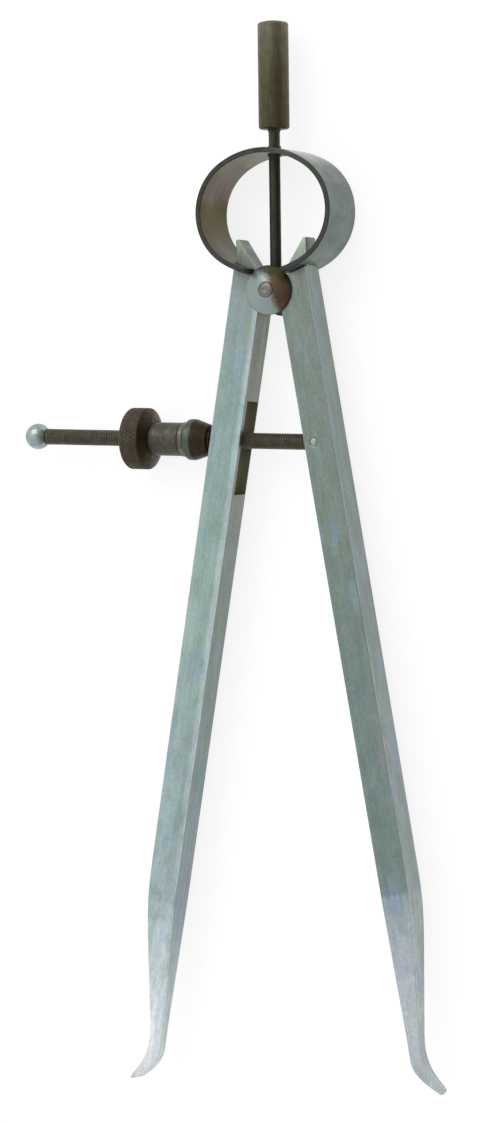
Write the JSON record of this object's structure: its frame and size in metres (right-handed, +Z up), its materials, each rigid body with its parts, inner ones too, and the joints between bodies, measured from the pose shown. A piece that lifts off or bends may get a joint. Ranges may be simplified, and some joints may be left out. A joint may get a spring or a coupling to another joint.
{
  "type": "inside spring caliper",
  "caption": "Inside spring caliper with a bow spring, two straight legs with out-turned toes on a flanged roller, a stem with a round grip, and a pivoted screw with a knurled nut.",
  "frame": {"origin": "on the surface that the caliper lies on, under the middle of its box", "axes": "+Y along the stem towards the grip, +X towards the leg that carries the screw pivot, +Z up through the front face"},
  "size_m": [0.113, 0.2624, 0.0153],
  "materials": {
    "leg_steel": "drawn and ground, satin",
    "spring_steel": "tempered strip, satin",
    "browned_steel": "turned and browned, low gloss",
    "pin_steel": "ground",
    "screw_steel": "threaded and browned",
    "nut_steel": "turned, knurled and browned",
    "bright_steel": "polished"
  },
  "bodies": {
    "spine": {"handle": "browned_steel", "bow_spring": "spring_steel", "fulcrum_roller": "browned_steel", "fulcrum_pin": "pin_steel"},
    "left_leg": {"left_leg": "leg_steel"},
    "right_leg": {"right_leg": "leg_steel", "screw_pivot_pin": "pin_steel"},
    "screw": {"adjusting_screw": "screw_steel", "ball_end": "bright_steel"},
    "washer": {"seat_washer": "nut_steel"},
    "nut": {"knurled_nut": "nut_steel"}
  },
  "joints": [
    {"name": "left_leg_swing", "type": "hinge", "parent": "spine", "child": "left_leg", "pos_m": [0.01365, 0.06486, 0.00765], "axis": [0, 0, -1], "range_deg": [-9.2, 16.5], "deforming": ["bow_spring"]},
    {"name": "right_leg_swing", "type": "hinge", "parent": "spine", "child": "right_leg", "pos_m": [0.01365, 0.06486, 0.00765], "axis": [0, 0, 1], "range_deg": [-9.2, 16.5], "deforming": ["bow_spring"]},
    {"name": "screw_pivot", "type": "hinge", "parent": "right_leg", "child": "screw", "pos_m": [0.02508, 0.02746, 0.00765], "axis": [0, 0, -1], "range_deg": [-9.2, 16.5]},
    {"name": "washer_slide", "type": "slide", "parent": "screw", "child": "washer", "axis": [-0.9993, 0.0366, 0], "range_m": [-0.01183, 0.02122]},
    {"name": "nut_turn", "type": "hinge", "parent": "washer", "child": "nut", "pos_m": [-0.02189, 0.02919, 0.00765], "axis": [-0.9993, 0.0366, 0], "range_deg": [-6086, 10915]}
  ],
  "couplings": [
    {"joint": "left_leg_swing", "follows": "washer_slide", "rad_per_m": 13.57},
    {"joint": "right_leg_swing", "follows": "washer_slide", "rad_per_m": 13.57},
    {"joint": "screw_pivot", "follows": "washer_slide", "rad_per_m": 13.57},
    {"joint": "nut_turn", "follows": "washer_slide", "rad_per_m": 8976}
  ]
}
